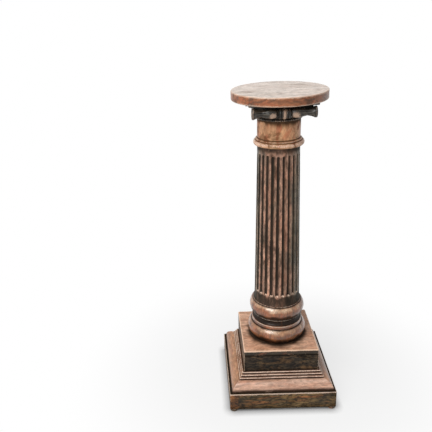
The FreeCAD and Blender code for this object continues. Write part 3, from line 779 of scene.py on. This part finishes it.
def neckShape(radius, height, angle):
    # painted shade: the neck is blackened in runs where the capital shades it, and the ring is rubbed above and
    # has painted shade, black, below
    around = Vector((math.cos(angle) * 60, math.sin(angle) * 60, 0))
    if height > ringHead + neck["capitalShadeStart"]:
        run = neck["capitalShade"] * (1 + 0.9 * noise.noise(around * 0.045) + 0.5 * noise.noise(around * 0.16))
        return (0.0, 0.0, smooth(drum["high"] - height, run, run * 0.1), 0.0)
    if not drum["low"] < height < ringHead or radius <= ringRoot - 1:
        return noShape(radius, height, angle)
    share = (height - drum["low"]) / neck["ring"] + 0.1 * noise.noise(around * 0.1)
    rubbed = neck["ringRub"] * smooth(share, 0.34, 0.56) * smooth(share, 1.0, 0.85)
    return (0.0, rubbed, neck["ringUnderShade"] * smooth(share, 0.3, 0.08), 0.0)


turnedPiece("neck_drum", neckOutline, neck, neckFinish, shape=neckShape)
print("stand: echinus and neck made")

# shaft: tapered, with round-ended flutes over a plain flared foot band, and a tenon below

shaft = {"flutes": 24, "footRadius": 76.8, "headRadius": 67.1, "flare": 3.2, "flareHeight": 12.0,
         "footWidth": 13.2, "headWidth": 11.6, "sink": 1.4, "footBand": 33.0, "headBand": 23.0, "tenon": 30.0,
         "tenonEase": 1.5, "soft": 0.7, "uneven": 0.3, "widthSpread": 0.25, "endSpread": 1.5,
         "swayRadians": 0.0027, "wearAndLightSide": math.radians(-104)}
column = span("fluted_shaft")
seat = span("upper_torus")["high"]
shaftLength = column["high"] - seat
footEnd, headEnd = seat + shaft["footBand"], column["high"] - shaft["headBand"]
halfPitch = math.pi / shaft["flutes"]
fluteFates = [random.uniform(-1, 1) for n in range(shaft["flutes"])]


def shaftRadius(height):
    s = shaft
    plain = s["footRadius"] - (s["footRadius"] - s["headRadius"]) * (height - seat) / shaftLength
    return plain + s["flare"] * max(0.0, 1 - (height - seat) / s["flareHeight"]) ** 2.6


def fluteDepth(height, off, number):
    # how far one flute cuts in, off its middle by an angle; -1 where it doesn't reach
    s = shaft
    share = (height - seat) / shaftLength
    width = s["footWidth"] + (s["headWidth"] - s["footWidth"]) * share
    radius = width / 2 + s["widthSpread"] * fluteFates[number]
    low = footEnd + radius + s["endSpread"] * fluteFates[number - 1]
    high = headEnd - radius + s["endSpread"] * fluteFates[number - 2]
    beyond = max(low - height, height - high, 0.0)
    if beyond >= radius:
        return -1.0
    reach = shaftRadius(height) + s["sink"]
    cutter = radius ** 2 - beyond ** 2 - (reach * math.sin(off)) ** 2
    if cutter <= 0:
        return -1.0
    return shaftRadius(height) - (reach * math.cos(off) - math.sqrt(cutter))


def shaftLevels():
    # heights of the shaft's rows, close together where the flutes begin and end
    levels = [seat + v for v in (0.0, 0.6, 1.5, 3.0, 5.0, 8.0, 12.0, 18.0, 24.0, 29.0)]
    levels += [footEnd - 2 + 0.8 * k for k in range(14)]
    levels += list(np.linspace(footEnd + 12, headEnd - 12, 84))
    levels += [headEnd - 9 + 0.8 * k for k in range(14)]
    return levels + [column["high"] - v for v in (16.0, 10.0, 5.0, 2.0, 0.8, 0.0)]


def shaftMasks(height, angle, off, cut, depth):
    # rubbed on the arrises and on the lip of each flute, dark in the flutes and on the two plain bands
    around = Vector((math.cos(angle), math.sin(angle), 0))
    headBand = shaft["headBand"] * (1.2 + 0.6 * noise.noise(around * 4))
    footBand = shaft["footBand"] * (1.0 + 0.35 * noise.noise(around * 5))
    arris = peak(cut, 0.1, 1.1)
    onLip = 0.3 < depth < 5 and abs(off) < 0.5 * halfPitch
    lip = peak(height, footEnd + 4, 4.5) if onLip else 0.0
    arch = peak(height, headEnd, 7) * arris
    band = 0.8 * smooth(column["high"] - height, headBand, shaft["headBand"] * 0.35)
    band = max(band, 0.85 * smooth(height - seat, footBand + 5, footBand - 5))
    # wax stays in the root, and painted shade darkens the root and the wall that the light and the cloth miss
    shaded = smooth(off / halfPitch, 0.12, -0.42)
    deep = smooth(depth, 0.3, 1.9) * (0.42 + 0.58 * shaded) + 0.5 * smooth(depth, 3.2, 4.6)
    # painted side shade: the column keeps its body colour on one side and takes the dark olive face colour round
    # the rest, where less light falls
    blotch = 0.3 * noise.noise(around * 2.5 + Vector((0, 0, height * 0.011)))
    toneAndLight = smooth(math.cos(angle - shaft["wearAndLightSide"]) + blotch, 0.92, 0.5)
    return 0.5 * arris + 0.85 * lip + 0.5 * arch, max(deep * (1 - lip), band * (1 - arch)), toneAndLight


def shaftPiece():
    s = shaft
    # places across half a flute, close together at its arris
    lanes = [0, 0.16, 0.3, 0.42, 0.5, 0.56, 0.61, 0.65, 0.69, 0.74, 0.82, 1.0]
    lanes = [-lane for lane in lanes[:0:-1]] + lanes[:-1]
    columns = []
    for number in range(s["flutes"]):
        middle = halfPitch * (2 * number + 1)
        columns += [(number, lane * halfPitch, middle + lane * halfPitch) for lane in lanes]
    skin = newSkin()

    def add(radius, angle, height, *masks):
        addPoint(skin, (radius * math.cos(angle), radius * math.sin(angle), height), *masks)

    add(0, 0, column["low"])
    tenonRows = [(column["low"], s["tenon"] - s["tenonEase"]), (column["low"] + s["tenonEase"], s["tenon"]),
                 (seat, s["tenon"])]
    for height, radius in tenonRows:
        for number, off, angle in columns:
            add(radius, angle, height)
    for height in shaftLevels():
        full = shaftRadius(height)
        for number, off, angle in columns:
            sway = s["swayRadians"] * noise.noise(Vector((number * 3.1, height * 0.012, 0)))
            cut = fluteDepth(height, off + sway, number)
            depth = cut if cut > s["soft"] else max(0.0, cut + s["soft"]) ** 2 / (4 * s["soft"])
            dent = abs(worn((full * math.cos(angle), full * math.sin(angle), height), s["uneven"]))
            add(full - depth - dent, angle, height, *shaftMasks(height, angle, off, cut, depth))
    add(0, 0, column["high"])
    faces = cappedFaces(len(skin["points"]), len(columns))
    newPiece("fluted_shaft", skin, faces, shaftFinish, sharp=60)


shaftPiece()
print("stand: shaft fluted")

# base rings: small torus with its thin ring, hollow between fillets, large torus

baseRings = {"ease": 0.7, "step": 3.0, "reach": 3.5, "uneven": 0.3, "bore": 30.1, "upperCrown": 10.0,
             "ringHeight": 4.0, "lowerCrown": 12.0, "lowerFoot": 3.5, "scotiaRadius": 77.0,
             "filletHeight": 13.0, "deepest": 0.55, "paintedHighlight": 0.95, "underShade": 0.88, "hollowDark": 0.95,
             "wearAndLightSide": math.radians(-108)}
upper, hollow, lower = span("upper_torus"), span("scotia_ring"), span("lower_torus")
bore = baseRings["bore"]


def ringPiece(name, outline, seams, shape):
    turnedPiece(name, outline, {**baseRings, "seams": seams}, baseFinish, shape=shape)


def torusShape(edge, foot, head, seed):
    # painted highlight, pale above and mostly on one side, and painted shade, black below where the roll turns
    # under
    def shape(radius, height, angle):
        if radius <= edge - 1:
            return noShape(radius, height, angle)
        share = (height - foot) / (head - foot)
        ragged = noise.noise(Vector((math.cos(angle) * 4, math.sin(angle) * 4, seed + share * 2)))
        share += 0.2 * ragged
        side = smooth(math.cos(angle - baseRings["wearAndLightSide"]) + 0.5 * ragged, -0.1, 0.9)
        highlightZone = smooth(share, 0.62, 0.86) * smooth(share, 1.08, 0.95)
        darkShare = baseRings["underShade"] * smooth(share, 0.52, 0.22)
        return (0.0, 0.0, darkShare, baseRings["paintedHighlight"] * highlightZone * (0.1 + 0.9 * side))
    return shape


upperEdge = upper["x"] - baseRings["upperCrown"]
thinRing = shaft["footRadius"] + shaft["flare"] + baseRings["ringHeight"] / 2
torusHead = upper["high"] - baseRings["ringHeight"]
upperOutline = [(bore, upper["low"]), (upperEdge, upper["low"])]
upperMiddle = (upper["x"], (upper["low"] + torusHead) / 2)
upperOutline += arcRun(upperOutline[-1], upperMiddle, (upperEdge, torusHead), 32)
upperOutline += [(thinRing, torusHead), (thinRing, upper["high"]), (bore, upper["high"])]
upperSeams = [(thinRing, torusHead), (upperEdge, upper["low"]), (thinRing - 3, upper["high"])]
ringPiece("upper_torus", upperOutline, upperSeams, torusShape(upperEdge, upper["low"], torusHead, 0.0))

hollowFoot = hollow["low"] + baseRings["filletHeight"]
hollowHead = hollow["high"] - baseRings["ringHeight"]
hollowMiddle = (baseRings["scotiaRadius"], hollowFoot + (hollowHead - hollowFoot) * baseRings["deepest"])
hollowOutline = [(bore, hollow["low"]), (hollow["x"], hollow["low"]), (hollow["x"], hollowFoot)]
hollowOutline += arcRun(hollowOutline[-1], hollowMiddle, (upperEdge, hollowHead), 24)
hollowOutline += [(upperEdge, hollow["high"]), (bore, hollow["high"])]


def hollowShape(radius, height, angle):
    # the hollow is darkened all through, and only the lower fillet is rubbed
    inside = hollowFoot + 0.6 < height < hollow["high"]
    return (0.0, 0.0, baseRings["hollowDark"] if inside else 0.0, 0.0)


hollowSeams = [(upperEdge, hollow["high"]), (hollow["x"], hollow["low"])]
ringPiece("scotia_ring", hollowOutline, hollowSeams, hollowShape)

lowerEdge = lower["x"] - baseRings["lowerCrown"]
lowerFoot = lower["low"] + baseRings["lowerFoot"]
lowerOutline = [(bore, lower["low"]), (lowerEdge, lower["low"]), (lowerEdge, lowerFoot)]
lowerMiddle = (lower["x"], (lowerFoot + lower["high"]) / 2)
lowerOutline += arcRun(lowerOutline[-1], lowerMiddle, (lowerEdge, lower["high"]), 36)
lowerOutline += [(bore, lower["high"])]
lowerSeams = [(lowerEdge, lower["low"]), (lowerEdge, lowerFoot), (lowerEdge, lower["high"])]
ringPiece("lower_torus", lowerOutline, lowerSeams, torusShape(lowerEdge, lowerFoot, lower["high"], 5.0))
print("stand: base rings made")

# plinth top: a rubbed square board that the column stands on

plinthTop = {"ease": 1.2, "step": 4.0, "reach": 3.0, "bore": 30.1, "perSide": 56, "cornerRound": 2.0,
             "shade": 23.0, "faceDepth": 0.7}
slab = span("plinth_top")
plinthTop["seams"] = [(slab["x"], slab["low"])]


def underTorus(x, y, height):
    # painted contact shadow on the board round the foot of the big torus
    away = math.hypot(x, y) - lower["x"] + 6
    ragged = plinthTop["shade"] * (1 + worn((x, y, 0), 0.8, 0.04))
    return smooth(away, ragged, 0.0) if height > slab["high"] - 1 else 0.0


def onSlab(x, y, height):
    return 1.0 if height > slab["high"] - plinthTop["faceDepth"] else 0.0


plinthTop.update(dirtAt=underTorus, toneAt=onSlab)
boardPiece("plinth_top", plinthTop, plinthTopFinish)

# skirt, moulding and plinth sides: one mitred length on each side, with its own piece of wood

skirt = {"ease": 1.8, "step": 5.0, "reach": 2.5, "thick": 24.0, "uneven": 0.5, "cornerWear": 0.8,
         "cornerRub": 0.6, "darkened": 26.0, "footDark": 0.75, "patch": 27.0, "patchTone": 0.8}
moulding = {"ease": 0.6, "step": 2.5, "reach": 2.2, "uneven": 0.35, "footFillet": 2.5, "ovoloHeight": 27.0,
            "ovoloReach": 24.0, "crown": 5.6, "reeds": 3, "reedHeight": 5.0, "reedDepth": 3.0,
            "ledgeShare": 1 / 3, "lip": 3.5, "seat": 36.0, "darkened": 13.0, "reedShade": 0.95, "cornerRub": 0.5}
plinthSide = {"ease": 0.5, "step": 5.0, "reach": 3.0, "thick": 16.0, "uneven": 0.2}


def mouldingOutline(foot, low, high, plinthHalf):
    m = moulding
    inner = plinthHalf - plinthSide["thick"]
    ovoloFoot = low + m["footFillet"]
    ovoloHead = ovoloFoot + m["ovoloHeight"]
    ovoloHalf = foot - m["ovoloReach"]
    slope = math.hypot(m["ovoloReach"], m["ovoloHeight"])
    middle = ((foot + ovoloHalf) / 2 + m["crown"] * m["ovoloHeight"] / slope,
              (ovoloFoot + ovoloHead) / 2 + m["crown"] * m["ovoloReach"] / slope)
    run = [(foot - m["seat"], low), (foot, low), (foot, ovoloFoot)]
    run += arcRun(run[-1], middle, (ovoloHalf, ovoloHead), 14)
    ledge = plinthHalf + (ovoloHalf - plinthHalf) * m["ledgeShare"]
    quirk = (high - ovoloHead) / m["reeds"] - m["reedHeight"]
    level = ovoloHead
    for reed in range(m["reeds"]):
        reedHalf = ovoloHalf + (ledge - ovoloHalf) * (reed + 1) / m["reeds"]
        root, reedFoot = reedHalf - m["reedDepth"], level + quirk
        level = reedFoot + m["reedHeight"]
        run += [(root, reedFoot - quirk), (root, reedFoot)]
        run += arcRun(run[-1], (reedHalf, reedFoot + m["reedHeight"] / 2), (root, level), 10)
    return run + [(inner, high), (inner, high - m["lip"])]


def dressSide(number, side):
    grain, outAxis = ("X", "y") if side in ("front", "rear") else ("Y", "x")
    finish = {}
    for k, part in enumerate(sideWood):
        look = {**sideWood[part], "grain": grain, "shift": 1.37 * number + 3.1 * k}
        if side in ("left", "right"):
            look["body"] = flankBody.get(part, look["body"])
        finish[part] = woodMaterial(part + "_" + side + "_wax", **look)
    low, high, half = {}, {}, {}
    for part in sideWood:
        size = span(part + "_" + side)
        low[part], high[part] = size["low"], size["high"]
        half[part] = max(abs(getattr(size["boxLow"], outAxis)), abs(getattr(size["boxHigh"], outAxis)))

    def onLedge(x, distance, height):
        # painted shadow on the ledge in front of the moulding, darker again towards the foot, with a rubbed
        # arris between
        if height > high["skirt"] - 0.6 and distance < half["skirt"] - 1.6:
            return 1.0
        darkened = skirt["darkened"] * (1 + worn((x, 0, 7), 0.8, 0.03))
        return skirt["footDark"] * smooth(height, low["skirt"] + darkened, low["skirt"])

    def endPatch(x, distance, height):
        # a light strip at one end of the front board
        edge = half["skirt"] - skirt["patch"] + worn((x, height, 3), 2.0, 0.15)
        return skirt["patchTone"] * smooth(-x, edge - 1.5, edge + 1.5) if side == "front" else 0.0

    def ovoloShade(x, distance, height):
        # painted shade towards the ovolo's foot, and on the quirk and lower part of each reed, lightly over all
        # the reeds
        foot = low["moulding"] + moulding["footFillet"]
        head = foot + moulding["ovoloHeight"]
        if height > head + 0.1:
            pitch = (high["moulding"] - head) / moulding["reeds"]
            phase = (height - head) / pitch % 1
            return max(0.3, moulding["reedShade"] * smooth(phase, 1.0, 0.65))
        return smooth(height, foot + moulding["darkened"], foot + 1)

    def lay(part, outline, look):
        mitredPiece(part + "_" + side, side, outline, look, finish[part])

    lay("skirt", boardOutline(half["skirt"], skirt["thick"], low["skirt"], high["skirt"]),
        {**skirt, "dirtAt": onLedge, "toneAt": endPatch})
    lay("moulding", mouldingOutline(half["moulding"], low["moulding"], high["moulding"], half["plinth"]),
        {**moulding, "dirtAt": ovoloShade,
         "seams": [(half["moulding"], low["moulding"]), (half["plinth"], high["moulding"])]})
    lay("plinth", boardOutline(half["plinth"], plinthSide["thick"], low["plinth"], high["plinth"]),
        {**plinthSide, "seams": [(half["plinth"], low["plinth"]), (half["plinth"], high["plinth"])]})


for number, side in enumerate(sideTurns):
    dressSide(number, side)
print("stand: plinth, moulding and skirt made")

# feet: turned pads with a recess for the nail

feet = {"ease": 1.2, "step": 2.0, "reach": 2.0, "nailHole": 1.3, "recess": 3.1, "recessDepth": 2.1,
        "uneven": 0.2}
for name in ("foot_front_left", "foot_front_right", "foot_rear_left", "foot_rear_right"):
    low, high = (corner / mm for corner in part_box(name))
    radius = (high.x - low.x) / 2
    recessTop = low.z + feet["recessDepth"]
    footOutline = [(feet["nailHole"], recessTop), (feet["recess"], recessTop), (feet["recess"], low.z),
                   (radius, low.z), (radius, high.z), (feet["nailHole"], high.z)]
    turnedPiece(name, footOutline, feet, footFinish, segments=64,
                centre=((low.x + high.x) / 2, (low.y + high.y) / 2))

# inner pieces and fasteners keep their built shape and get their finish

innerPieces = {
    "bolster_pegs": innerFinish, "base_board": innerFinish, "capital_dowel": uprightFinish,
    "neck_dowel": uprightFinish, "plinth_glue_blocks": uprightFinish, "base_glue_blocks": uprightFinish,
    "top_screws": steelFinish, "tie_washer": steelFinish, "tie_screw": steelFinish, "base_screws": steelFinish,
    "foot_nails": steelFinish,
}
for name, finish in innerPieces.items():
    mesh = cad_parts[name].data
    mesh.materials.clear()
    mesh.materials.append(finish)
print("stand: feet and inner pieces done")

# studio, in metres: white backdrop and floor, a bright lamp high overhead, a key lamp and a weak one in front

studio = {"ambient": 0.3, "floorGrey": 0.86, "floorReach": 14.0, "lift": 0.8, "nearShadeLevel": 0.92,
          "nearWhite": (0.22, 0.8), "contactShadowReach": 0.03, "contactShadowPower": 1.6, "lampTarget": (0, 0, 0.5)}
lamps = {
    "overhead_lamp": {"place": (-0.9, -0.9, 4.0), "width": 2.4, "energy": 78.0},
    "key_lamp": {"place": (-1.9, -2.4, 2.5), "width": 2.0, "energy": 70.0},
    "front_lamp": {"place": (-0.6, -2.8, 1.5), "width": 1.4, "energy": 3.0},
}
white = (1, 1, 1, 1)


def studioWorld():
    world = bpy.data.worlds.new("studio_white")
    world.use_nodes = True
    tree = world.node_tree
    tree.nodes.clear()
    strength = spread(tree, seenDirectly(tree, throughGlass=True), 0.0, 1.0, studio["ambient"], 1.0)
    background = addNode(tree, "ShaderNodeBackground", {"Color": white, "Strength": strength})
    addNode(tree, "ShaderNodeOutputWorld", {0: background.outputs[0]})
    scene.world = world


def studioFloor():
    material = newMaterial("floor_paper")
    tree = material.node_tree
    grey = studio["floorGrey"]
    paper = addNode(tree, "ShaderNodeBsdfDiffuse", {"Color": (grey, grey, grey, 1)}).outputs[0]
    # white far off, a painted soft shadow a little greyer near the stand, and a painted contact shadow, dark in
    # the narrow gap under it
    place = addNode(tree, "ShaderNodeTexCoord").outputs["Object"]
    away = addNode(tree, "ShaderNodeVectorMath", {0: place}, operation="LENGTH").outputs["Value"]
    near, far = studio["nearWhite"]
    level = spread(tree, away, near, far, studio["nearShadeLevel"], 1.0)
    openness = addNode(tree, "ShaderNodeAmbientOcclusion", {"Distance": studio["contactShadowReach"]}, samples=12)
    level = times(tree, level, mathNode(tree, "POWER", openness.outputs["AO"], studio["contactShadowPower"]))
    glow = addNode(tree, "ShaderNodeEmission", {"Color": white, "Strength": level}).outputs[0]
    lift = times(tree, seenDirectly(tree), spread(tree, away, near, far, studio["lift"], 1.0))
    mixed = addNode(tree, "ShaderNodeMixShader", {0: lift, 1: paper, 2: glow}).outputs[0]
    addNode(tree, "ShaderNodeOutputMaterial", {0: mixed})
    mesh = bpy.data.meshes.new("floor")
    reach = studio["floorReach"]
    corners = [(-reach, -reach, 0), (reach, -reach, 0), (reach, reach, 0), (-reach, reach, 0)]
    mesh.from_pydata(corners, [], [(0, 1, 2, 3)])
    mesh.materials.append(material)
    floor = bpy.data.objects.new("floor", mesh)
    scene.collection.objects.link(floor)


def softLamp(name, place, width, energy):
    data = bpy.data.lights.new(name, "AREA")
    data.shape = "DISK"
    data.size = width
    data.energy = energy
    lamp = bpy.data.objects.new(name, data)
    lamp.location = place
    lamp.rotation_euler = (Vector(studio["lampTarget"]) - Vector(place)).to_track_quat("-Z", "Y").to_euler()
    scene.collection.objects.link(lamp)


studioWorld()
studioFloor()
for name, lamp in lamps.items():
    softLamp(name, **lamp)

# camera: where the photograph was taken from, a little above the top and left of the axis, tilted down and
# slightly rolled; its shift gives the photograph's framing

view = {"place": (-0.2575, -1.7145, 1.3648), "turn": 0.0368, "tilt": 0.3618, "roll": -0.0533,
        "focalPixels": 557.5, "imageSide": 432, "middleX": 180.0, "middleY": 200.0, "sensor": 36.0}


def setCamera():
    tilt, side = view["tilt"], view["imageSide"]
    heading = Matrix.Rotation(view["turn"], 3, "Z")
    right = heading @ Vector((1, 0, 0))
    up = heading @ Vector((0, math.sin(tilt), math.cos(tilt)))
    ahead = heading @ Vector((0, math.cos(tilt), -math.sin(tilt)))
    rolledRight = right * math.cos(view["roll"]) + up * math.sin(view["roll"])
    rolledUp = up * math.cos(view["roll"]) - right * math.sin(view["roll"])
    data = bpy.data.cameras.new("view")
    data.sensor_width = view["sensor"]
    data.lens = view["focalPixels"] * view["sensor"] / side
    data.shift_x = (side / 2 - view["middleX"]) / side
    data.shift_y = (view["middleY"] - side / 2) / side
    camera = bpy.data.objects.new("view", data)
    aim = Matrix((rolledRight, rolledUp, -ahead)).transposed().to_4x4()
    camera.matrix_world = Matrix.Translation(view["place"]) @ aim
    scene.collection.objects.link(camera)
    scene.camera = camera


setCamera()
scene.view_settings.view_transform = "Standard"
print("stand: studio and camera set")
